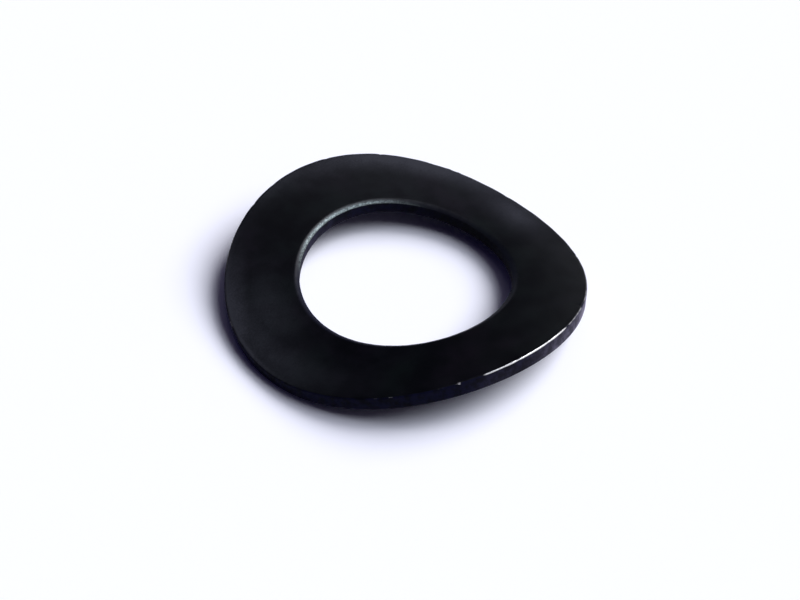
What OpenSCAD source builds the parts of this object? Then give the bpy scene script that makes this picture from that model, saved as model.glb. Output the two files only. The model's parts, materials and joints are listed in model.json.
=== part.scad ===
// A two-wave spring washer: a flat ring, blanked from spring steel strip and
// pressed into waves, so that it stands on its valleys and springs at its crests.
// Millimetres. +Z runs up the bore, the underside stands on Z = 0, and the first
// valley lies on +X.

/* [Ring] */
// Outside diameter, at the middle of the metal
outer_d = 18; // [16:0.1:24]
// Diameter of the bore
bore_d = 10.6; // [8:0.1:12]
// Thickness of the strip
thickness = 0.75; // [0.5:0.05:1.2]

/* [Waves] */
// How many crests go round the ring, with a valley between each two
waves = 2; // [2:1:4]
// Rise of a crest above a valley, at the outside diameter
wave_h = 2.1; // [0.5:0.1:3.2]

/* [Edges] */
// Width of the rolled edge round the top of the bore
roll_w = 0.3; // [0.1:0.05:0.8]
// Depth of the rolled edge round the top of the bore
roll_depth = 0.15; // [0.05:0.05:0.3]
// Radius of the outer edge on the top face
top_edge_r = 0.12; // [0.02:0.01:0.2]
// Radius of both edges on the underside
under_edge_r = 0.1; // [0.02:0.01:0.2]

/* [Hidden] */
outer_r = outer_d / 2;
bore_r = bore_d / 2;
half_t = thickness / 2;
// Metal left inside the bore, which the bore's own cylinder then cuts away
bore_stock = half_t / 2;
// Length by which that cylinder runs past the washer, at each end
cut_past = 1;
// Sections round the ring, and steps across each face and round each edge
stations = 120;
face_steps = 4;
edge_steps = 4;

// A quarter of an ellipse, clockwise from the angle start, in equal steps
function quarter(centre, half_axes, start) =
    [for (i = [0:edge_steps])
        let (angle = start - 90 * i / edge_steps)
        centre + [half_axes[0] * cos(angle), half_axes[1] * sin(angle)]];

// The points between two ends of a straight line, in equal steps
function between(from, to) =
    [for (i = [1:face_steps - 1]) from + (to - from) * i / face_steps];

// The ring's section in the flat strip, clockwise from the bore's rolled edge:
// u runs out from the axis, and w up from the middle of the metal
function section() =
    let (
        top_roll = quarter([bore_r + roll_w, half_t - roll_depth], [roll_w, roll_depth], 180),
        top_edge = quarter([outer_r - top_edge_r, half_t - top_edge_r],
            [top_edge_r, top_edge_r], 90),
        under_edge = quarter([outer_r - under_edge_r, under_edge_r - half_t],
            [under_edge_r, under_edge_r], 0),
        under_bore = quarter([bore_r + under_edge_r, under_edge_r - half_t],
            [under_edge_r, under_edge_r], -90)
    )
    concat(
        [top_roll[0] - [bore_stock, 0]],
        top_roll,
        between(top_roll[edge_steps], top_edge[0]),
        top_edge,
        under_edge,
        between(under_edge[edge_steps], under_bore[0]),
        under_bore,
        [under_bore[edge_steps] - [bore_stock, 0]]
    );

// Height of the middle of the metal, and its slopes outwards and round the ring
function rise(u, angle) = -wave_h / 2 * pow(u / outer_r, 2) * cos(waves * angle);
function slope_outwards(u, angle) = 2 * rise(u, angle) / u;
function slope_round(u, angle) =
    waves * wave_h / 2 * u / pow(outer_r, 2) * sin(waves * angle);

// A point of the flat section, carried to its place on the waves and set off from
// the middle of the metal at right angles to it
function on_waves(point, angle) =
    let (
        u = point[0],
        outwards = slope_outwards(u, angle),
        sideways = slope_round(u, angle),
        up = point[1] / sqrt(1 + pow(outwards, 2) + pow(sideways, 2)),
        r = u - up * outwards,
        s = -up * sideways
    )
    [r * cos(angle) - s * sin(angle), r * sin(angle) + s * cos(angle), rise(u, angle) + up];

// The washer's section at every station round the ring, one list to a station
function ring_sections(outline) =
    [for (i = [0:stations - 1]) [for (point = outline) on_waves(point, 360 * i / stations)]];

// A closed ring through a list of sections that have as many points each
module swept_ring(sections) {
    n = len(sections[0]);
    faces = [for (i = [0:stations - 1], j = [0:n - 1])
        let (
            here = i * n,
            next = (i + 1) % stations * n,
            k = (j + 1) % n
        )
        each [[here + j, here + k, next + k], [here + j, next + k, next + j]]];
    polyhedron(points = [for (one = sections) each one], faces = faces, convexity = 4);
}

// The washer, bored true after its waves are pressed, with its lowest edge on Z = 0
module washer() {
    sections = ring_sections(section());
    lowest = min([for (one = sections, point = one) point[2]]);
    color([0.11, 0.12, 0.13])
        difference() {
            translate([0, 0, -lowest]) swept_ring(sections);
            translate([0, 0, -cut_past])
                cylinder(h = wave_h + thickness + 2 * cut_past, r = bore_r, $fn = stations);
        }
}

washer();
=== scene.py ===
"""A blackened two-wave spring washer, and the plain studio that it lies in.

The file is laid out as an add-on: the sizes and colours that a user would change are
properties, each piece has an operator that builds it, and a sidebar panel lists them.
Run as a script, it builds everything once, in order. Lengths are in metres.
"""

import json
import math

import bpy
import numpy as np
from mathutils import Matrix, Vector


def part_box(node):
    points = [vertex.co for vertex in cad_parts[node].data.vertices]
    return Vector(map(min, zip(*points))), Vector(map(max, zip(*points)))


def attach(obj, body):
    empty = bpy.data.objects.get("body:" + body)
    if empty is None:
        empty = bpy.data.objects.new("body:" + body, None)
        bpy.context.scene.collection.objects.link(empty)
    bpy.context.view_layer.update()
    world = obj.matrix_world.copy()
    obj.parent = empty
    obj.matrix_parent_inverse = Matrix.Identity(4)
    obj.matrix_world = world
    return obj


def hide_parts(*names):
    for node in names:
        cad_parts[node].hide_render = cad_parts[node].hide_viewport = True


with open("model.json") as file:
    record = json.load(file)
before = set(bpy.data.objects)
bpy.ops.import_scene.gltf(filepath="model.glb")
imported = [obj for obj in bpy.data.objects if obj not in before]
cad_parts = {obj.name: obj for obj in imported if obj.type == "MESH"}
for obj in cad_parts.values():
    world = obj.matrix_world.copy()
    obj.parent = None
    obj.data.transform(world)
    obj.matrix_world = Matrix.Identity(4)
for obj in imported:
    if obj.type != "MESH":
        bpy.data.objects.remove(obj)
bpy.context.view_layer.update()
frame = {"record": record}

bl_info = {
    "name": "Wave Washer",
    "version": (1, 0, 0),
    "blender": (4, 5, 0),
    "location": "View3D > Sidebar > Washer",
    "description": "Builds a blackened wave washer and the studio that it lies in",
    "category": "Add Mesh",
}

MM = 0.001
BODY = "root"
NODE = "washer"

# What the frame says of the washer: its box, and the radius of its bore.
BOX_LOW, BOX_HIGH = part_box(NODE)
BORE_R = next(m for m in frame["record"]["mounts"] if m["name"] == "bore")["dims"]["r_mm"] * MM
FREE_HEIGHT = BOX_HIGH.z - BOX_LOW.z

# The parts of the ring's section, clockwise from the bore's top edge, and the steps in each.
SECTION_STEPS = {
    "roll": 14,
    "top": 20,
    "edge": 10,
    "wall": 8,
    "under_edge": 7,
    "under": 16,
    "under_bore": 6,
    "bore": 12,
}

# How far the steps of the bore's wall crowd to its two edges.
BORE_CROWD = 0.9

# How many of the outer top edge's steps are finished as the face is, before the wall's finish.
EDGE_FACE_STEPS = 4

# How the sizes of the edges wander round the ring: the turns that add up, the seed and the share.
ROLL_WIDTH_WANDER = ((2, 3, 7, 13, 29, 53, 87), 3, 0.10)
ROLL_DEPTH_WANDER = ((3, 4, 9, 31, 67), 4, 0.10)
TOP_EDGE_WANDER = ((3, 5, 11, 23, 41), 5, 0.22)

# The least and the most that any one of those turns weighs beside the others.
TURN_WEIGHTS = (0.5, 1.0)

# Over how many widths of the rolled edge the lean of the metal fades out towards the bore.
LEAN_FADE = 2

# Nicks in the outer top edge: how many, the seed of their places, the least and the most of
# their half widths, and of the numbers whose squares are their depths beside the deepest.
NICKS, NICK_SEED = 34, 11
NICK_WIDTHS, NICK_DEPTHS = (0.05 * MM, 0.22 * MM), (0.1, 1.0)

# How far a nick or a burr reaches from the corner, in radii of the edge.
MARK_REACH = 1.6

# Burrs on the outer top edge: the angle, the half width and the height.
BURRS = (
    (38.5, 0.10 * MM, 0.018 * MM),
    (35, 0.12 * MM, 0.020 * MM),
    (171, 0.15 * MM, 0.020 * MM),
    (-110.9, 0.10 * MM, 0.022 * MM),
)

# Stretches of the outer top edge that are rubbed bright: the angle, the half width, the strength.
RUBS = (
    (-86.2, 18.3, 1.0),
    (-53.5, 16.0, 0.56),
    (-110.9, 0.42, 1.15),
    (-114.5, 3.5, 0.42),
    (-131.0, 0.8, 0.50),
    (-135.5, 0.6, 0.50),
    (22.0, 4.0, 0.6),
    (57.0, 6.0, 0.5),
    (136.0, 7.0, 0.55),
    (163.0, 1.2, 0.5),
)

# How strong the rub is elsewhere, how wide it is across the edge, in radii of the edge, and the
# share of its half width over which a stretch fades at its ends.
RUB_EVERYWHERE, RUB_HALF_WIDTH, RUB_FADE = 0.04, 0.19, 0.125

# Patches of painted sheen on the top face, lighter grey where the lamps' reflection shows: the angle,
# the half width as an angle, the share of the way from the bore to the outside, the half width of
# that, and the strength.
PAINTED_SHEEN_PATCHES = (
    (158, 19, 0.97, 0.24, 1.3),
    (163, 26, 1.00, 0.08, 2.0),
    (176, 30, 0.80, 0.30, 0.62),
    (165, 22, 0.50, 0.32, 0.48),
    (9, 14, 0.76, 0.30, 1.1),
    (-12, 16, 0.80, 0.25, 0.12),
    (52, 40, 0.97, 0.26, 1.5),
    (98, 20, 0.97, 0.14, 0.6),
    (50, 45, 0.45, 0.40, 0.12),
)

# Patches of thinned oxide on the outer wall, partly rubbed oxide and partly painted reflection
# of the floor: the angle, the half width and the strength.
WALL_RUBS_AND_REFLECTIONS = ((-44, 16, 1.7), (-68, 17, 0.42), (-97, 9, 0.09), (60, 25, 0.4))

# The same, on the wall of the bore.
BORE_RUBS_AND_REFLECTIONS = ((122, 26, 0.09),)

# Patches of painted shade on the wall of the bore and its rolled edge, where they lie in shadow,
# in the same form.
BORE_PAINTED_SHADE = ((10, 46, 0.72),)

# How far from the bore that painted shade reaches, in widths of the rolled edge: wholly, and at all.
PAINTED_SHADE_REACH = (1.0, 1.5)

# How far a thinned patch, partly painted reflection, reaches past a wall, in radii of the outer top
# edge.
WALL_FADE = 0.3

# Where the rolled edge round the bore is thinned most, which lays its painted highlight, how far
# that reaches either way round, and the power that makes it even in the middle and quick to end.
ROLL_RUB_AND_HIGHLIGHT_AT, ROLL_RUB_AND_HIGHLIGHT_REACH, ROLL_RUB_AND_HIGHLIGHT_POWER = 105, (62, 39), 4

# How far down the rolled edge's own finish goes, in depths of the rolled edge.
ROLL_REACH = 1.2

# The detail and the roughness of each noise.
PATCH_NOISE, GRAIN_NOISE, TINT_NOISE = (4.0, 0.62), (3.0, 0.6), (2.0, 0.5)
BREAK_NOISE, SPECKLE_NOISE, STREAK_NOISE = (5.0, 0.65), (2.0, 0.6), (3.0, 0.6)

# Features to a metre: the breaks in a rub, the rolled edge's speckle and the walls' streaks, and
# how the streaks are drawn out up and down the wall.
BREAKS, SPECKLES, STREAKS = 2200.0, 12000.0, 9000.0
STREAK_SCALE = (1.0, 1.0, 0.12)

# The grain's share in where the oxide is thin, and how broad the tints are beside the patches.
GRAIN_IN_THIN, TINTS_TO_A_PATCH = 0.22, 0.45

# What makes a rub from its nearness to the edge: how much the breaks count, what is there
# without them, and how sharply the rub then begins.
BREAK_GAIN, BREAK_BASE, RUB_GAIN = 1.6, 0.2, 2.4

# Each of these carries a value from the range of its first two numbers to that of its last two.
NOISE_TO_THIN = (0.45, 0.79, 0.0, 1.0)
NOISE_TO_TINT = (0.36, 0.64, 0.0, 1.0)
WEAR_TO_LEAST_RUB = (0.0, 1.0, 0.75, 0.05)
# The next two break up the painted sheen on the top face.
THIN_TO_SHEEN_PAINT = (0.0, 1.0, 0.70, 0.95)
GRAIN_TO_SHEEN_PAINT = (0.35, 0.65, 0.75, 1.25)
NOISE_TO_SPECKLE = (0.32, 0.68, 0.30, 1.5)
DEPTH_TO_TORN = (0.35, 0.6, 0.35, 1.0)
# The next makes the walls' thinned patches lighter towards the bottom of the wall.
DEPTH_TO_LIGHTER_BELOW = (0.1, 0.9, 0.75, 1.35)
THIN_TO_WALL_CLOUD = (0.0, 0.8, 0.2, 1.0)
# The next breaks up the walls' thinned patches, which are partly painted reflection.
THIN_TO_WALL_RUB_AND_REFLECTION = (0.0, 1.0, 0.35, 1.0)

# The strengths between which the rolled edge goes from no thinning, and no painted highlight, to
# the whole of it.
ROLL_RUB_AND_HIGHLIGHT_RANGE = (0.22, 0.92)

# How far the roughness goes below and above its own value, on the faces and on the walls, the
# range of the streaks that it follows on the walls, and what a bright rub adds to it.
FACE_DULLING, WALL_DULLING, STREAK_RANGE = (-0.02, 0.03), (-0.06, 0.1), (0.3, 0.7)
RUB_POLISH = -0.12

# The height of the grain on the faces and of the relief on the walls, the grain's share in that
# relief, and how many times smaller the oxide's patches are on the walls.
FACE_GRAIN_HEIGHT, WALL_RELIEF_HEIGHT = 0.003 * MM, 0.008 * MM
GRAIN_ON_WALLS, WALL_PATCHES = 0.4, 4

# In what is mirrored, the backdrop is white up to the first height and gone by the second, as
# shares of straight up.
BACKDROP_TOP = (0.02, 0.20)

# The floor's radius in metres, and its sides.
FLOOR_R, FLOOR_SIDES = 1.5, 96

# The camera's sensor and lens in millimetres, the nearest and farthest that it sees in metres,
# and how far to the left of the washer's middle and below it the camera is aimed.
SENSOR_MM, LENS_MM = 36.0, 71.5
CLIP_START, CLIP_END = 0.001, 10.0
AIM_LEFT, AIM_BELOW = 0.257 * MM, 1.197 * MM


# ---------------------------------------------------------------- settings


def length(name, description, default):
    """A length that the user may change, shown in the scene's own unit."""
    return bpy.props.FloatProperty(
        name=name, description=description, default=default, min=0.0, unit="LENGTH", precision=5
    )


def colour(name, description, default):
    """A colour that the user may change."""
    return bpy.props.FloatVectorProperty(
        name=name,
        description=description,
        default=default,
        size=3,
        min=0.0,
        max=1.0,
        subtype="COLOR",
    )


def share(name, description, default, top=1.0):
    """A plain number from nothing to top."""
    return bpy.props.FloatProperty(
        name=name, description=description, default=default, min=0.0, max=top
    )


def turn(name, description, degrees):
    """An angle that the user may change."""
    return bpy.props.FloatProperty(
        name=name,
        description=description,
        default=math.radians(degrees),
        subtype="ANGLE",
        unit="ROTATION",
    )


class WasherShape(bpy.types.PropertyGroup):
    """The washer's sizes."""

    outer_d: length("Outside diameter", "Across the ring, at the middle of the metal", 18 * MM)
    bore_d: length("Bore", "Diameter of the hole", 2 * BORE_R)
    thickness: length("Thickness", "Thickness of the strip", 0.75 * MM)
    wave_h: length("Wave height", "Rise of a crest above a valley, at the outside", 2.1 * MM)
    waves: bpy.props.IntProperty(
        name="Waves", description="Crests round the ring", default=2, min=2, max=4
    )
    roll_w: length("Roll width", "Width of the rolled edge round the top of the bore", 0.3 * MM)
    roll_depth: length("Roll depth", "Depth of the rolled edge round the top of the bore", 0.15 * MM)
    top_edge_r: length("Top edge", "Radius of the outer edge on the top face", 0.12 * MM)
    under_edge_r: length("Under edges", "Radius of both edges on the underside", 0.1 * MM)
    nick_depth: length("Nick depth", "Deepest of the small nicks in the outer edge", 0.03 * MM)
    stations: bpy.props.IntProperty(
        name="Stations", description="Sections round the ring", default=720, min=60, max=1440
    )


class WasherFinish(bpy.types.PropertyGroup):
    """The washer's blackened finish."""

    oxide: colour("Oxide", "The black oxide where it is deepest", (0.0013, 0.0015, 0.0019))
    oxide_thin: colour("Thin oxide", "The oxide where it is thinnest", (0.0034, 0.0026, 0.0044))
    oxide_green: colour(
        "Greenish oxide", "The thin oxide where it leans to green", (0.0020, 0.0034, 0.0033)
    )
    steel: colour("Bare steel", "The steel where an edge is rubbed bright", (0.50, 0.49, 0.46))
    # The haze is painted sheen: lighter grey patches on the top face where the lamps' reflection shows.
    sheen_paint_colour: colour("Haze", "The grey bloom that lies on the oxide in patches", (0.027, 0.0275, 0.032))
    sheen_paint_amount: share("Haze amount", "How strong the grey bloom is", 1.0)
    # The rolled edge's thinned oxide lies only where its highlight shows: partly wear, partly painted
    # highlight.
    roll_steel_and_highlight: colour(
        "Rolled edge", "The thin oxide on the rolled edge round the bore", (0.153, 0.179, 0.169)
    )
    roll_rub: share("Rolled edge wear", "How far the oxide is thinned on the rolled edge", 0.8)
    sheen: share("Sheen", "Specular level of the oxide on the faces", 0.14)
    cut_oxide: colour("Cut oxide", "The black oxide on the sheared walls", (0.0036, 0.0039, 0.0150))
    # Where the walls' oxide is thinned, it is partly rubbed oxide and partly painted reflection of the
    # floor.
    cut_steel_and_reflection: colour("Cut steel", "The thin oxide on the sheared walls", (0.21, 0.19, 0.24))
    cut_sheen: share("Cut sheen", "Specular level of the sheared walls", 0.035)
    cut_roughness: share("Cut roughness", "Roughness of the sheared walls", 0.68)
    roughness: share("Roughness", "Roughness of the oxide on the faces", 0.31)
    wear: share("Edge wear", "How far the oxide is rubbed off the edges", 0.5)
    patch: length("Patch size", "Size of the cloudy patches in the oxide", 1.6 * MM)
    grain: length("Grain size", "Size of the oxide's fine grain", 0.07 * MM)


class WasherStudio(bpy.types.PropertyGroup):
    """The floor, the light and the camera."""

    floor: colour("Floor", "Colour of the floor", (0.985, 0.97, 0.97))
    key: share("Key light", "Strength of the high soft lamp", 2.04, 20.0)
    key_colour: colour("Key colour", "Colour of the high soft lamp", (0.80, 0.86, 1.0))
    key_spread: turn("Key spread", "How wide the high lamp looks from the washer", 44)
    key_way: turn("Key way round", "Way round from the camera's right to the high lamp", -6)
    key_height: turn("Key height", "Height of the high lamp above the floor, as an angle", 54)
    side: share("Side light", "Strength of the lower soft lamp", 2.51, 20.0)
    side_colour: colour("Side colour", "Colour of the lower soft lamp", (0.90, 0.905, 1.0))
    side_spread: turn("Side spread", "How wide the lower lamp looks from the washer", 40)
    side_way: turn("Side way round", "Way round from the camera's right to the lower lamp", 28)
    side_height: turn("Side height", "Height of the lower lamp above the floor, as an angle", 44)
    glow: share("Glow", "Strength of the wide glow round both lamps", 0.34, 20.0)
    glow_colour: colour("Glow colour", "Colour of that glow", (0.84, 0.80, 1.0))
    glow_spread: turn("Glow spread", "How wide that glow looks from the washer", 100)
    glow_way: turn("Glow way round", "Way round from the camera's right to the glow's middle", 13)
    glow_height: turn("Glow height", "Height of the glow's middle above the floor, as an angle", 50)
    fill: share("Fill", "Strength of the light that comes from all round", 0.034, 5.0)
    fill_colour: colour("Fill colour", "Colour of the light from all round", (0.26, 0.22, 1.0))
    azimuth: turn("Azimuth", "Way round the washer that the camera stands", -38.15)
    elevation: turn("Elevation", "Height of the camera above the washer, as an angle", 41.28)
    roll: turn("Roll", "Turn of the camera about its own line of sight", 1.8)
    distance: length("Distance", "From the camera to the middle of the washer", 79.2 * MM)


# ---------------------------------------------------------------- the ring's shape


def quarter(u, w, radius, start, steps):
    """Points of a quarter circle, clockwise, one row to a station."""
    angles = np.radians(start - 90 * np.linspace(0, 1, steps + 1))
    u, w, radius = (np.atleast_1d(v)[:, None] for v in (u, w, radius))
    return np.stack(np.broadcast_arrays(u + radius * np.cos(angles), w + radius * np.sin(angles)), -1)


def rolled(bore_r, top_w, width, depth, steps):
    """Points of the edge that the punch rolled over: level at the face, steep at the bore."""
    t = np.linspace(0, 1, steps + 1)
    return np.stack([bore_r + width[:, None] * t, top_w - depth[:, None] * (1 - t) ** 2], -1)


def between(start, end, steps, crowd=0.0):
    """The points between two points of every station, without the two, crowded to the ends."""
    t = np.linspace(0, 1, steps + 1)[1:-1]
    t = t - crowd * np.sin(2 * math.pi * t) / (2 * math.pi)
    return start[:, None] + (end - start)[:, None] * t[:, None]


def ripple(angles, turns, seed):
    """A smooth closed wander round the ring, from -1 to 1."""
    random = np.random.default_rng(seed)
    phases = random.uniform(0, 2 * math.pi, len(turns))
    weights = random.uniform(*TURN_WEIGHTS, len(turns))
    waves = weights * np.cos(np.outer(angles, turns) + phases)
    return waves.sum(1) / weights.sum()


def wandering(size, angles, turns, seed, amount):
    """A size that wanders round the ring by a share of itself."""
    return size * (1 + amount * ripple(angles, turns, seed))


def apart(angles, centre):
    """The way round the ring from an angle, as a signed angle."""
    return (angles - centre + math.pi) % (2 * math.pi) - math.pi


def ring_section(shape, angles):
    """The section's points at every station, and where in each row its parts begin."""
    half_t, outer_r, bore_r = shape.thickness / 2, shape.outer_d / 2, shape.bore_d / 2
    roll_w = wandering(shape.roll_w, angles, *ROLL_WIDTH_WANDER)
    roll_depth = wandering(shape.roll_depth, angles, *ROLL_DEPTH_WANDER)
    edge_r = wandering(shape.top_edge_r, angles, *TOP_EDGE_WANDER)
    under_r = shape.under_edge_r * np.ones_like(angles)
    steps = SECTION_STEPS
    parts = {
        "roll": rolled(bore_r, half_t, roll_w, roll_depth, steps["roll"]),
        "edge": quarter(outer_r - edge_r, half_t - edge_r, edge_r, 90, steps["edge"]),
        "under_edge": quarter(outer_r - under_r, under_r - half_t, under_r, 0, steps["under_edge"]),
        "under_bore": quarter(bore_r + under_r, under_r - half_t, under_r, -90, steps["under_bore"]),
    }
    parts["top"] = between(parts["roll"][:, -1], parts["edge"][:, 0], steps["top"])
    parts["wall"] = between(parts["edge"][:, -1], parts["under_edge"][:, 0], steps["wall"])
    parts["under"] = between(parts["under_edge"][:, -1], parts["under_bore"][:, 0], steps["under"])
    parts["bore"] = between(parts["under_bore"][:, -1], parts["roll"][:, 0], steps["bore"], BORE_CROWD)
    starts, rows, count = {}, [], 0
    for name in SECTION_STEPS:
        starts[name] = count
        rows.append(parts[name])
        count += parts[name].shape[1]
    return np.concatenate(rows, axis=1), starts


def marked(points, shape, angles):
    """Nicks and small burrs along the outer top edge, as shearing and handling leave them."""
    random = np.random.default_rng(NICK_SEED)
    outer_r, half_t = shape.outer_d / 2, shape.thickness / 2
    corner = np.array([outer_r, half_t])
    reach = MARK_REACH * shape.top_edge_r
    near = np.exp(-((np.linalg.norm(points - corner, axis=-1) / reach) ** 2))
    dent = np.zeros_like(angles)
    for _ in range(NICKS):
        where = random.uniform(-math.pi, math.pi)
        width = random.uniform(*NICK_WIDTHS) / outer_r
        depth = shape.nick_depth * random.uniform(*NICK_DEPTHS) ** 2
        dent = np.maximum(dent, depth * np.exp(-((apart(angles, where) / width) ** 2)))
    for degrees, width, height in BURRS:
        bump_here = height * np.exp(-((apart(angles, math.radians(degrees)) * outer_r / width) ** 2))
        dent = dent - bump_here
    inwards = np.array([-1.0, -1.0]) / math.sqrt(2)
    return points + (dent[:, None] * near)[..., None] * inwards


def pressed(points, shape, angles):
    """The flat section's points carried to their places on the waves."""
    outer_r, bore_r = shape.outer_d / 2, shape.bore_d / 2
    u, w = points[..., 0], points[..., 1]
    angle = angles[:, None]
    rise = -shape.wave_h / 2 * (u / outer_r) ** 2 * np.cos(shape.waves * angle)
    outwards = 2 * rise / u
    sideways = shape.waves * shape.wave_h / 2 * u / outer_r**2 * np.sin(shape.waves * angle)
    up = w / np.sqrt(1 + outwards**2 + sideways**2)
    # The bore is cut true to its axis, so the lean of the metal fades out towards it.
    lean = np.clip((u - bore_r) / (LEAN_FADE * shape.roll_w), 0, 1)
    r = u - up * outwards * lean
    s = -up * sideways * lean
    return np.stack(
        [r * np.cos(angle) - s * np.sin(angle), r * np.sin(angle) + s * np.cos(angle), rise + up], -1
    )


def fitted(places, flat, shape):
    """The ring's height and outside carried to the frame's own box, and its bore left true."""
    places[..., 2] -= places[..., 2].min()
    places[..., 2] *= FREE_HEIGHT / places[..., 2].max()
    bore_r = shape.bore_d / 2
    out = np.clip((flat[..., 0] - bore_r) / (shape.outer_d / 2 - bore_r), 0, 1)
    spare = min(BOX_HIGH.x / np.abs(places[..., 0]).max(), BOX_HIGH.y / np.abs(places[..., 1]).max())
    places[..., :2] *= 1 + (spare - 1) * out[..., None]
    places[..., 2] += BOX_LOW.z
    return places


def ring_mesh(shape):
    """The washer's mesh, with the values that its finish reads."""
    angles = np.linspace(0, 2 * math.pi, shape.stations, endpoint=False)
    flat, starts = ring_section(shape, angles)
    flat = marked(flat, shape, angles)
    places = fitted(pressed(flat, shape, angles), flat, shape)
    stations, n = places.shape[:2]
    here = np.arange(stations)[:, None] * n
    there = np.roll(here, -1, axis=0)
    row = np.arange(n)[None]
    after = np.roll(row, -1, axis=1)
    quads = np.stack([here + row, here + after, there + after, there + row], -1).reshape(-1, 4)
    mesh = bpy.data.meshes.new("washer_ring")
    mesh.from_pydata(places.reshape(-1, 3).tolist(), [], quads.tolist())
    mark_edges(mesh, flat, angles, shape)
    zone = np.zeros(n, int)
    zone[starts["edge"] + EDGE_FACE_STEPS : starts["under"] - 1] = 1
    zone[starts["under_bore"] - 1 :] = 1
    mesh.polygons.foreach_set("material_index", np.tile(zone, stations))
    mesh.polygons.foreach_set("use_smooth", np.ones(len(mesh.polygons), bool))
    mesh.validate()
    mesh.update()
    return mesh


def roll_thinning_and_highlight(angles):
    """How far the oxide is thinned on the rolled edge, round the bore: partly wear, and partly a
    painted highlight, as it is thinned only where the highlight shows.
    """
    away = apart(angles, math.radians(ROLL_RUB_AND_HIGHLIGHT_AT))
    reach = np.where(away < 0, *np.radians(ROLL_RUB_AND_HIGHLIGHT_REACH))
    return np.exp(-((away / reach) ** ROLL_RUB_AND_HIGHLIGHT_POWER))


def mark_edges(mesh, flat, angles, shape):
    """Writes the values that the finish reads, such as where an edge is rubbed, and where sheen,
    reflection and shade are painted.
    """
    half_t, outer_r, bore_r = shape.thickness / 2, shape.outer_d / 2, shape.bore_d / 2
    u, w = flat[..., 0], flat[..., 1]
    off_ridge = np.hypot(u - outer_r, w - half_t) / shape.top_edge_r - (math.sqrt(2) - 1)
    arc = np.full_like(angles, RUB_EVERYWHERE)
    for degrees, half_width, strength in RUBS:
        reach = np.abs(apart(angles, math.radians(degrees))) / math.radians(half_width)
        arc = np.maximum(arc, strength * np.clip((1 - reach) / RUB_FADE, 0, 1))
    # A rub is strongest along the ridge of the rounded edge, and thins out to either side.
    rub = np.exp(-((off_ridge / RUB_HALF_WIDTH) ** 2)) * arc[:, None]
    write_values(mesh, "edge_rub", rub)
    write_values(mesh, "cut_depth", np.clip((half_t - w) / shape.thickness, 0, 1))
    from_bore = (u - bore_r) / shape.roll_w
    roll = np.clip(1 - from_bore, 0, 1) * (w > half_t - shape.roll_depth * ROLL_REACH)
    # Where the rolled edge is thinned: partly wear, partly painted highlight.
    write_values(mesh, "roll_rub", roll * roll_thinning_and_highlight(angles)[:, None])
    write_values(mesh, "roll_dull", roll * (1 - roll_thinning_and_highlight(angles))[:, None])
    write_values(mesh, "bloom", bloom(u, w, angles, shape))
    # Thinned oxide on the walls: partly rubbed, partly painted reflection.
    write_values(mesh, "wall_rub", wall_rub(u, angles, shape))
    # Painted shade on the bore's wall and rolled edge, where they lie in shadow.
    near_bore = np.interp(from_bore, PAINTED_SHADE_REACH, (1, 0))
    write_values(mesh, "shallow_oxide", 1 - patches_round(angles, BORE_PAINTED_SHADE) * near_bore)


def bloom(u, w, angles, shape):
    """How much painted sheen, lighter grey where the lamps' reflection shows, lies at each point of the
    top face.
    """
    out = (u - shape.bore_d / 2) / (shape.outer_d / 2 - shape.bore_d / 2)
    total = np.zeros_like(u)
    for degrees, half_angle, place, half_place, strength in PAINTED_SHEEN_PATCHES:
        round_to = apart(angles, math.radians(degrees)) / math.radians(half_angle)
        patch = strength * np.exp(-(round_to[:, None] ** 2) - ((out - place) / half_place) ** 2)
        total = np.maximum(total, patch)
    return np.where(w > 0, total, 0)


def patches_round(angles, patches):
    """The strongest of some patches at each angle, each with its angle, half width and strength."""
    total = np.zeros_like(angles)
    for degrees, half_angle, strength in patches:
        reach = apart(angles, math.radians(degrees)) / math.radians(half_angle)
        total = np.maximum(total, strength * np.exp(-(reach**2)))
    return total[:, None]


def in_bore(u, shape):
    """Where the wall of the bore is, fading out just past it."""
    inset = WALL_FADE * shape.top_edge_r
    return np.clip((shape.bore_d / 2 + inset - u) / inset, 0, 1)


def wall_rub(u, angles, shape):
    """How far the oxide is thinned at each point of the outer wall, and of the wall of the bore: partly
    rubbed oxide, partly painted reflection.
    """
    inset = WALL_FADE * shape.top_edge_r
    outside = np.clip((u - shape.outer_d / 2 + inset) / inset, 0, 1)
    inside = patches_round(angles, BORE_RUBS_AND_REFLECTIONS) * in_bore(u, shape)
    return patches_round(angles, WALL_RUBS_AND_REFLECTIONS) * outside + inside


def write_values(mesh, name, values):
    """One number to a vertex, under a name that a material can read."""
    made = mesh.attributes.new(name, "FLOAT", "POINT")
    made.data.foreach_set("value", np.ascontiguousarray(values, np.float32).ravel())


# ---------------------------------------------------------------- node helpers


def link(tree, source, target):
    """Links one socket to another."""
    tree.links.new(source, target)


def fill(tree, socket, value):
    """Sets a socket to a number or colour, or links it to another socket."""
    if isinstance(value, bpy.types.NodeSocket):
        tree.links.new(value, socket)
    else:
        socket.default_value = value


def maths(tree, operation, a, b, clamp=False):
    """A Math node, given numbers or sockets."""
    node = tree.nodes.new("ShaderNodeMath")
    node.operation, node.use_clamp = operation, clamp
    fill(tree, node.inputs[0], a)
    fill(tree, node.inputs[1], b)
    return node.outputs[0]


def blend_colours(tree, factor, a, b):
    """Colour a where the factor is 0, and colour b where it is 1."""
    node = tree.nodes.new("ShaderNodeMix")
    node.data_type = "RGBA"
    fill(tree, node.inputs["Factor"], factor)
    fill(tree, node.inputs[6], a)
    fill(tree, node.inputs[7], b)
    return node.outputs[2]


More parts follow.
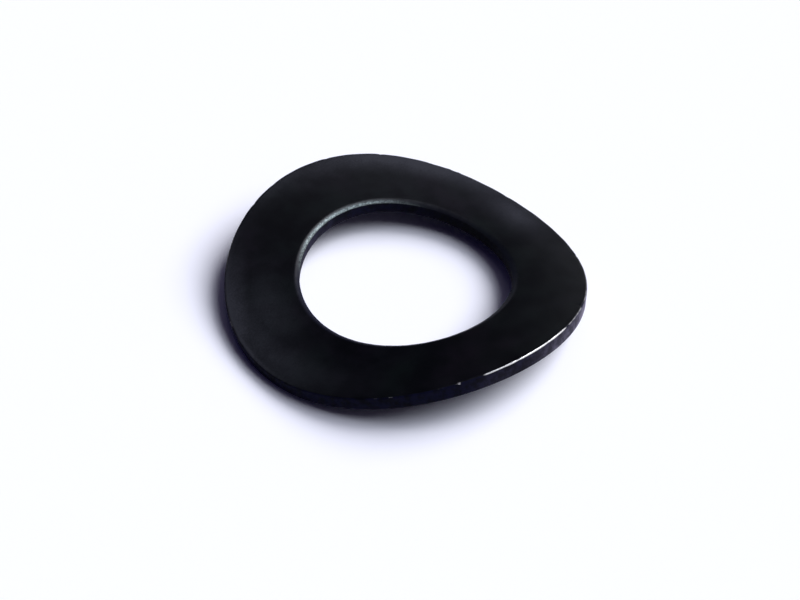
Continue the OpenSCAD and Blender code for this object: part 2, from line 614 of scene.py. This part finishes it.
def map_range(tree, value, low, high, to_low, to_high, smooth=False):
    """A value carried from one range to another, held at its ends."""
    node = tree.nodes.new("ShaderNodeMapRange")
    node.interpolation_type = "SMOOTHSTEP" if smooth else "LINEAR"
    fill(tree, node.inputs["Value"], value)
    for name, number in zip(("From Min", "From Max", "To Min", "To Max"), (low, high, to_low, to_high)):
        fill(tree, node.inputs[name], number)
    return node.outputs["Result"]


def noise(tree, vector, scale, detail, roughness):
    """A noise texture's value, at the given number of features to a metre."""
    node = tree.nodes.new("ShaderNodeTexNoise")
    fill(tree, node.inputs["Vector"], vector)
    fill(tree, node.inputs["Scale"], scale)
    node.inputs["Detail"].default_value = detail
    node.inputs["Roughness"].default_value = roughness
    return node.outputs["Fac"]


def new_group(name, inputs, outputs):
    """An empty shader node group with named sockets, and its two end nodes."""
    group = bpy.data.node_groups.new(name, "ShaderNodeTree")
    for label, kind, default in inputs:
        socket = group.interface.new_socket(label, in_out="INPUT", socket_type=kind)
        if default is not None:
            socket.default_value = default
    for label, kind in outputs:
        group.interface.new_socket(label, in_out="OUTPUT", socket_type=kind)
    start, end = group.nodes.new("NodeGroupInput"), group.nodes.new("NodeGroupOutput")
    return group, start.outputs, end.inputs


def place_group(tree, group, **values):
    """A group placed in a material, with its own values; underscores stand for spaces."""
    node = tree.nodes.new("ShaderNodeGroup")
    node.node_tree = group
    for name, value in values.items():
        fill(tree, node.inputs[name.replace("_", " ")], value)
    return node.outputs


def attribute(tree, name):
    """A number that the mesh holds under a name."""
    node = tree.nodes.new("ShaderNodeAttribute")
    node.attribute_name = name
    return node.outputs["Fac"]


# ---------------------------------------------------------------- the finish


def cloud_group():
    """Clouds and fine grain of an oxide: where it is thin, the grain's height, and its tint."""
    group, given, made = new_group(
        "oxide_cloud",
        [
            ("Vector", "NodeSocketVector", None),
            ("Patches per metre", "NodeSocketFloat", None),
            ("Grains per metre", "NodeSocketFloat", None),
        ],
        [("Thin", "NodeSocketFloat"), ("Grain", "NodeSocketFloat"), ("Tint", "NodeSocketFloat")],
    )
    patches = noise(group, given["Vector"], given["Patches per metre"], *PATCH_NOISE)
    grain = noise(group, given["Vector"], given["Grains per metre"], *GRAIN_NOISE)
    speckled = maths(group, "MULTIPLY", grain, GRAIN_IN_THIN)
    thin = map_range(group, maths(group, "ADD", patches, speckled), *NOISE_TO_THIN, smooth=True)
    tints = maths(group, "MULTIPLY", given["Patches per metre"], TINTS_TO_A_PATCH)
    broad = noise(group, given["Vector"], tints, *TINT_NOISE)
    link(group, thin, made["Thin"])
    link(group, grain, made["Grain"])
    link(group, map_range(group, broad, *NOISE_TO_TINT, smooth=True), made["Tint"])
    return group


def wear_group():
    """Where an edge is rubbed bright: broken up by noise, and strongest at the corner."""
    group, given, made = new_group(
        "edge_wear",
        [
            ("Vector", "NodeSocketVector", None),
            ("Nearness", "NodeSocketFloat", None),
            ("Amount", "NodeSocketFloat", None),
            ("Breaks per metre", "NodeSocketFloat", BREAKS),
        ],
        [("Mask", "NodeSocketFloat")],
    )
    breaks = noise(group, given["Vector"], given["Breaks per metre"], *BREAK_NOISE)
    broken = maths(group, "ADD", maths(group, "MULTIPLY", breaks, BREAK_GAIN), BREAK_BASE)
    least = map_range(group, given["Amount"], *WEAR_TO_LEAST_RUB)
    pushed = maths(group, "MULTIPLY", given["Nearness"], broken)
    mask = maths(group, "MULTIPLY", maths(group, "SUBTRACT", pushed, least), RUB_GAIN, clamp=True)
    link(group, mask, made["Mask"])
    return group


def new_material(name):
    """An empty material with its output and shader linked."""
    material = bpy.data.materials.new(name)
    material.use_nodes = True
    tree = material.node_tree
    tree.nodes.clear()
    output = tree.nodes.new("ShaderNodeOutputMaterial")
    shader = tree.nodes.new("ShaderNodeBsdfPrincipled")
    link(tree, shader.outputs["BSDF"], output.inputs["Surface"])
    return material, tree, shader


def object_coordinates(tree):
    """The place on the piece, in metres."""
    return tree.nodes.new("ShaderNodeTexCoord").outputs["Object"]


def bump(tree, height, distance):
    """A normal from a height, where distance is the real height of a value of 1."""
    node = tree.nodes.new("ShaderNodeBump")
    node.inputs["Strength"].default_value = 1.0
    node.inputs["Distance"].default_value = distance
    fill(tree, node.inputs["Height"], height)
    return node.outputs["Normal"]


def sheen_paint_mask(tree, cloudy, finish):
    """Where the painted sheen shows: its patches, broken up a little by the oxide's clouds and grain.
    """
    clouds = map_range(tree, cloudy["Thin"], *THIN_TO_SHEEN_PAINT)
    broken = maths(tree, "MULTIPLY", clouds, map_range(tree, cloudy["Grain"], *GRAIN_TO_SHEEN_PAINT))
    amount = maths(tree, "MULTIPLY", attribute(tree, "bloom"), finish.sheen_paint_amount)
    return maths(tree, "MULTIPLY", broken, amount)


def rubbed_bright(tree, place, wear, finish):
    """Where the outer top edge is rubbed down to the steel."""
    near = attribute(tree, "edge_rub")
    return place_group(tree, wear, Vector=place, Nearness=near, Amount=finish.wear)["Mask"]


def cloudiness(tree, place, cloud, finish, patches=1):
    """The oxide's clouds and grain, with this many of its patches in the room of one."""
    return place_group(
        tree,
        cloud,
        Vector=place,
        Patches_per_metre=patches / finish.patch,
        Grains_per_metre=1 / finish.grain,
    )


def face_material(finish, cloud, wear):
    """Black oxide on the pressed faces, rolled edge and outer edges."""
    material, tree, shader = new_material("black_oxide_faces")
    place = object_coordinates(tree)
    cloudy = cloudiness(tree, place, cloud, finish)
    worn = rubbed_bright(tree, place, wear, finish)
    thin = blend_colours(tree, cloudy["Tint"], (*finish.oxide_thin, 1), (*finish.oxide_green, 1))
    oxide = blend_colours(tree, cloudy["Thin"], (*finish.oxide, 1), thin)
    # Painted sheen: lighter grey patches laid over the oxide.
    oxide = blend_colours(tree, sheen_paint_mask(tree, cloudy, finish), oxide, (*finish.sheen_paint_colour, 1))
    sheens = (finish.roughness + change for change in FACE_DULLING)
    dull = map_range(tree, cloudy["Thin"], 0.0, 1.0, *sheens)
    speckle = map_range(tree, noise(tree, place, SPECKLES, *SPECKLE_NOISE), *NOISE_TO_SPECKLE)
    # Thinned oxide on the rolled edge: partly wear, partly painted highlight.
    rub = attribute(tree, "roll_rub")
    thinned = map_range(tree, rub, *ROLL_RUB_AND_HIGHLIGHT_RANGE, 0.0, finish.roll_rub, smooth=True)
    thinned = maths(tree, "MULTIPLY", thinned, speckle, clamp=True)
    # Where the rolled edge isn't rubbed, it is finished much as the sheared wall below it.
    unrubbed = attribute(tree, "roll_dull")
    duller = maths(tree, "MULTIPLY", unrubbed, finish.cut_roughness - finish.roughness)
    dull = maths(tree, "ADD", dull, duller)
    # Painted shade: where the bore lies in shadow, the unrubbed rolled edge keeps the face's darker
    # oxide.
    as_wall = maths(tree, "MULTIPLY", unrubbed, attribute(tree, "shallow_oxide"))
    oxide = blend_colours(tree, as_wall, oxide, (*finish.cut_oxide, 1))
    # Painted highlight, partly real wear: the rolled edge's thinned oxide.
    oxide = blend_colours(tree, thinned, oxide, (*finish.roll_steel_and_highlight, 1))
    fill(tree, shader.inputs["Base Color"], blend_colours(tree, worn, oxide, (*finish.steel, 1)))
    fill(tree, shader.inputs["Metallic"], maths(tree, "MAXIMUM", worn, thinned))
    polish = maths(tree, "MULTIPLY", worn, RUB_POLISH)
    fill(tree, shader.inputs["Roughness"], maths(tree, "ADD", dull, polish))
    fill(tree, shader.inputs["Normal"], bump(tree, cloudy["Grain"], FACE_GRAIN_HEIGHT))
    shader.inputs["Specular IOR Level"].default_value = finish.sheen
    return material


def cut_material(finish, cloud, wear):
    """Black oxide on the sheared walls: smooth above, torn and streaked below."""
    material, tree, shader = new_material("black_oxide_cut_walls")
    place = object_coordinates(tree)
    drawn_out = tree.nodes.new("ShaderNodeMapping")
    drawn_out.inputs["Scale"].default_value = STREAK_SCALE
    link(tree, place, drawn_out.inputs["Vector"])
    cloudy = cloudiness(tree, place, cloud, finish, WALL_PATCHES)
    streaks = noise(tree, drawn_out.outputs["Vector"], STREAKS, *STREAK_NOISE)
    depth = attribute(tree, "cut_depth")
    torn = map_range(tree, depth, *DEPTH_TO_TORN, smooth=True)
    worn = rubbed_bright(tree, place, wear, finish)
    clouds = map_range(tree, cloudy["Thin"], *THIN_TO_WALL_CLOUD)
    # Painted shade: where the bore lies in shadow, its wall keeps the darkest oxide.
    clouds_outside_painted_shade = maths(tree, "MULTIPLY", clouds, attribute(tree, "shallow_oxide"))
    oxide = blend_colours(tree, clouds_outside_painted_shade, (*finish.oxide, 1), (*finish.cut_oxide, 1))
    # Thinned oxide on the walls: partly rubbed, partly painted reflection, lighter towards the bottom
    # of the wall.
    rubbed = maths(tree, "MULTIPLY", attribute(tree, "wall_rub"), map_range(tree, depth, *DEPTH_TO_LIGHTER_BELOW))
    thinned = maths(tree, "MULTIPLY", map_range(tree, cloudy["Thin"], *THIN_TO_WALL_RUB_AND_REFLECTION), rubbed)
    oxide = blend_colours(tree, thinned, oxide, (*finish.cut_steel_and_reflection, 1))
    fill(tree, shader.inputs["Base Color"], blend_colours(tree, worn, oxide, (*finish.steel, 1)))
    fill(tree, shader.inputs["Metallic"], maths(tree, "MAXIMUM", worn, thinned))
    sheens = (finish.cut_roughness + change for change in WALL_DULLING)
    fill(tree, shader.inputs["Roughness"], map_range(tree, streaks, *STREAK_RANGE, *sheens))
    grain = maths(tree, "MULTIPLY", cloudy["Grain"], GRAIN_ON_WALLS)
    height = maths(tree, "ADD", maths(tree, "MULTIPLY", streaks, torn), grain)
    fill(tree, shader.inputs["Normal"], bump(tree, height, WALL_RELIEF_HEIGHT))
    shader.inputs["Specular IOR Level"].default_value = finish.cut_sheen
    return material


# ---------------------------------------------------------------- the studio


def floor_disc(studio):
    """A wide, plain, pale floor, level with the washer's lowest points, and open from below."""
    turns = [2 * math.pi * i / FLOOR_SIDES for i in range(FLOOR_SIDES)]
    mesh = bpy.data.meshes.new("floor")
    corners = [(FLOOR_R * math.cos(t), FLOOR_R * math.sin(t), BOX_LOW.z) for t in turns]
    mesh.from_pydata(corners, [], [list(range(FLOOR_SIDES))])
    floor = bpy.data.objects.new("floor", mesh)
    bpy.context.scene.collection.objects.link(floor)
    material, tree, shader = new_material("floor_paper")
    shader.inputs["Base Color"].default_value = (*studio.floor, 1)
    shader.inputs["Roughness"].default_value = 1.0
    shader.inputs["Specular IOR Level"].default_value = 0.0
    clear = tree.nodes.new("ShaderNodeBsdfTransparent")
    mix = tree.nodes.new("ShaderNodeMixShader")
    link(tree, tree.nodes.new("ShaderNodeNewGeometry").outputs["Backfacing"], mix.inputs["Fac"])
    link(tree, shader.outputs["BSDF"], mix.inputs[1])
    link(tree, clear.outputs["BSDF"], mix.inputs[2])
    output = next(n for n in tree.nodes if n.type == "OUTPUT_MATERIAL")
    link(tree, mix.outputs[0], output.inputs["Surface"])
    mesh.materials.append(material)


def surroundings(studio):
    """A low bluish fill from all round, and a plain white backdrop."""
    world = bpy.data.worlds.new("surroundings")
    world.use_nodes = True
    tree = world.node_tree
    tree.nodes.clear()
    output = tree.nodes.new("ShaderNodeOutputWorld")
    fill_light, backdrop = (tree.nodes.new("ShaderNodeBackground") for _ in range(2))
    fill_light.inputs["Color"].default_value = (*studio.fill_colour, 1)
    fill_light.inputs["Strength"].default_value = studio.fill
    split = tree.nodes.new("ShaderNodeSeparateXYZ")
    link(tree, tree.nodes.new("ShaderNodeTexCoord").outputs["Generated"], split.inputs[0])
    low = map_range(tree, split.outputs["Z"], *BACKDROP_TOP, 1.0, 0.0, smooth=True)
    rays = tree.nodes.new("ShaderNodeLightPath").outputs
    mirrored = maths(tree, "ADD", rays["Is Glossy Ray"], rays["Is Transmission Ray"])
    seen = maths(tree, "ADD", rays["Is Camera Ray"], maths(tree, "MULTIPLY", mirrored, low), clamp=True)
    mix = tree.nodes.new("ShaderNodeMixShader")
    link(tree, seen, mix.inputs["Fac"])
    link(tree, fill_light.outputs[0], mix.inputs[1])
    link(tree, backdrop.outputs[0], mix.inputs[2])
    backdrop.inputs["Color"].default_value = (1, 1, 1, 1)
    backdrop.inputs["Strength"].default_value = 1.0
    link(tree, mix.outputs[0], output.inputs["Surface"])
    bpy.context.scene.world = world


def view_axes(studio):
    """The camera's right, up and back, before its roll."""
    a, e = studio.azimuth, studio.elevation
    back = Vector((math.sin(a) * math.cos(e), -math.cos(a) * math.cos(e), math.sin(e)))
    right = Vector((math.cos(a), math.sin(a), 0))
    return right, back.cross(right), back


def lamps(studio):
    """Two soft lamps to the camera's right, the lower one farther back, and the glow round both."""
    right, _, _ = view_axes(studio)
    away = Vector((-right.y, right.x, 0))
    for name in ("key", "side", "glow"):
        way, height = getattr(studio, f"{name}_way"), getattr(studio, f"{name}_height")
        level = right * math.cos(way) + away * math.sin(way)
        towards = level * math.cos(height) + Vector((0, 0, math.sin(height)))
        data = bpy.data.lights.new(name, "SUN")
        data.energy = getattr(studio, name)
        data.angle = getattr(studio, f"{name}_spread")
        data.color = getattr(studio, f"{name}_colour")
        lamp = bpy.data.objects.new(name, data)
        lamp.rotation_mode = "QUATERNION"
        lamp.rotation_quaternion = towards.to_track_quat("Z", "Y")
        bpy.context.scene.collection.objects.link(lamp)


def camera(studio):
    """The camera, aimed so that the washer stands a little above the middle of its view."""
    right, up, back = view_axes(studio)
    middle = Vector((0, 0, FREE_HEIGHT / 2))
    data = bpy.data.cameras.new("camera")
    data.sensor_width = SENSOR_MM
    data.lens = LENS_MM
    data.clip_start = CLIP_START
    data.clip_end = CLIP_END
    made = bpy.data.objects.new("camera", data)
    bpy.context.scene.collection.objects.link(made)
    place = middle + back * studio.distance
    aim = middle - right * AIM_LEFT - up * AIM_BELOW
    forward = (aim - place).normalized()
    side = forward.cross(up).normalized()
    over = side.cross(forward)
    turned = Matrix((side, over, -forward)).transposed() @ Matrix.Rotation(studio.roll, 3, "Z")
    made.matrix_world = Matrix.Translation(place) @ turned.to_4x4()
    bpy.context.scene.camera = made


# ---------------------------------------------------------------- operators


class WASHER_OT_ring(bpy.types.Operator):
    """Build the washer: a ring of strip pressed into waves, with its black finish"""

    bl_idname = "washer.ring"
    bl_label = "Washer"

    def execute(self, context):
        scene = context.scene
        ring = bpy.data.objects.new("washer_ring", ring_mesh(scene.washer_shape))
        scene.collection.objects.link(ring)
        cloud, wear = cloud_group(), wear_group()
        ring.data.materials.append(face_material(scene.washer_finish, cloud, wear))
        ring.data.materials.append(cut_material(scene.washer_finish, cloud, wear))
        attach(ring, BODY)
        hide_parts(NODE)
        return {"FINISHED"}


class WASHER_OT_studio(bpy.types.Operator):
    """Build the studio: a pale floor, soft light and the camera"""

    bl_idname = "washer.studio"
    bl_label = "Studio"

    def execute(self, context):
        studio = context.scene.washer_studio
        floor_disc(studio)
        surroundings(studio)
        lamps(studio)
        camera(studio)
        context.scene.view_settings.view_transform = "Standard"
        return {"FINISHED"}


class WASHER_PT_panel(bpy.types.Panel):
    """Lists the washer's operators in the sidebar"""

    bl_label = "Wave Washer"
    bl_space_type = "VIEW_3D"
    bl_region_type = "UI"
    bl_category = "Washer"

    def draw(self, context):
        for group in SETTINGS:
            settings = getattr(context.scene, group)
            box = self.layout.box()
            for name in settings.__annotations__:
                box.prop(settings, name)
        for operator in (WASHER_OT_ring, WASHER_OT_studio):
            self.layout.operator(operator.bl_idname)


SETTINGS = {
    "washer_shape": WasherShape,
    "washer_finish": WasherFinish,
    "washer_studio": WasherStudio,
}
CLASSES = (*SETTINGS.values(), WASHER_OT_ring, WASHER_OT_studio, WASHER_PT_panel)


def register():
    """Registers the classes, and hangs the settings on the scene."""
    for cls in CLASSES:
        bpy.utils.register_class(cls)
    for name, group in SETTINGS.items():
        setattr(bpy.types.Scene, name, bpy.props.PointerProperty(type=group))


def unregister():
    """Takes away what register() added."""
    for name in SETTINGS:
        delattr(bpy.types.Scene, name)
    for cls in reversed(CLASSES):
        bpy.utils.unregister_class(cls)


def main():
    """Builds the washer and its studio."""
    register()
    bpy.ops.washer.ring()
    bpy.ops.washer.studio()


if __name__ == "__main__":
    main()
